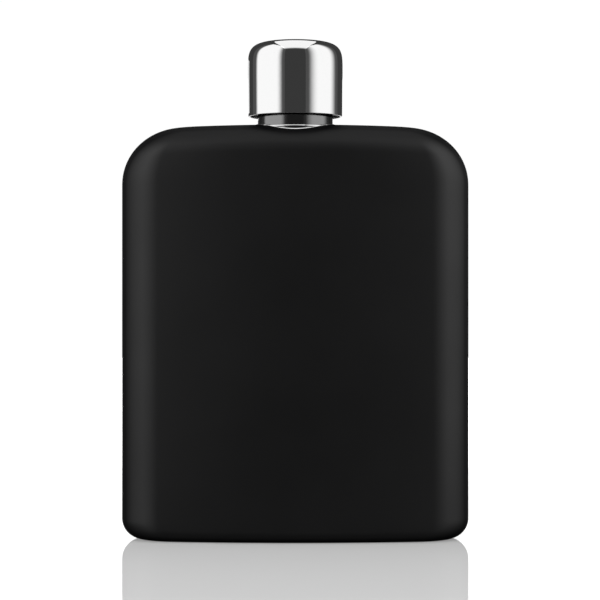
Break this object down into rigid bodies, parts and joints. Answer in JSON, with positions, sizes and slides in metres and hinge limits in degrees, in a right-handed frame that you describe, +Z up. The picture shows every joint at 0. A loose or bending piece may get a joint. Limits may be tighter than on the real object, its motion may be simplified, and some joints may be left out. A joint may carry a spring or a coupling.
{
  "type": "hip flask",
  "caption": "Flat pocket flask with full-round sides and soft shoulders, a short round polished collar at the neck and a domed screw cap.",
  "frame": {"origin": "under the middle of the base, on the surface the flask stands on", "axes": "+Z up along the neck's axis, X across the width, +Y from the front face to the back face through the thickness"},
  "size_m": [0.095, 0.031, 0.136],
  "materials": {
    "black_coat": "fine matte black powder coat on stainless steel sheet",
    "polished_steel": "mirror polished stainless steel",
    "machined_steel": "turned stainless steel with fine tool marks",
    "moulded_plastic": "black polypropylene, satin from the mould",
    "silicone": "translucent white silicone, dull"
  },
  "bodies": {
    "flask": {"front_shell": "black_coat", "back_shell": "black_coat", "base_pan": "black_coat", "neck_cup": "polished_steel", "neck_spout": "machined_steel", "neck_collar": "polished_steel"},
    "seal": {"cap_seal": "silicone"},
    "cap": {"cap_shell": "polished_steel", "cap_insert": "moulded_plastic"}
  },
  "joints": [
    {"name": "cap_lift", "type": "slide", "parent": "flask", "child": "seal", "axis": [0, 0, 1], "range_m": [0, 0.0181]},
    {"name": "cap_turn", "type": "hinge", "parent": "seal", "child": "cap", "pos_m": [0, 0, 0.1157], "axis": [0, 0, 1], "range_deg": [0, 2160]}
  ],
  "couplings": [
    {"joint": "cap_lift", "follows": "cap_turn", "m_per_rad": 0.00047746}
  ]
}
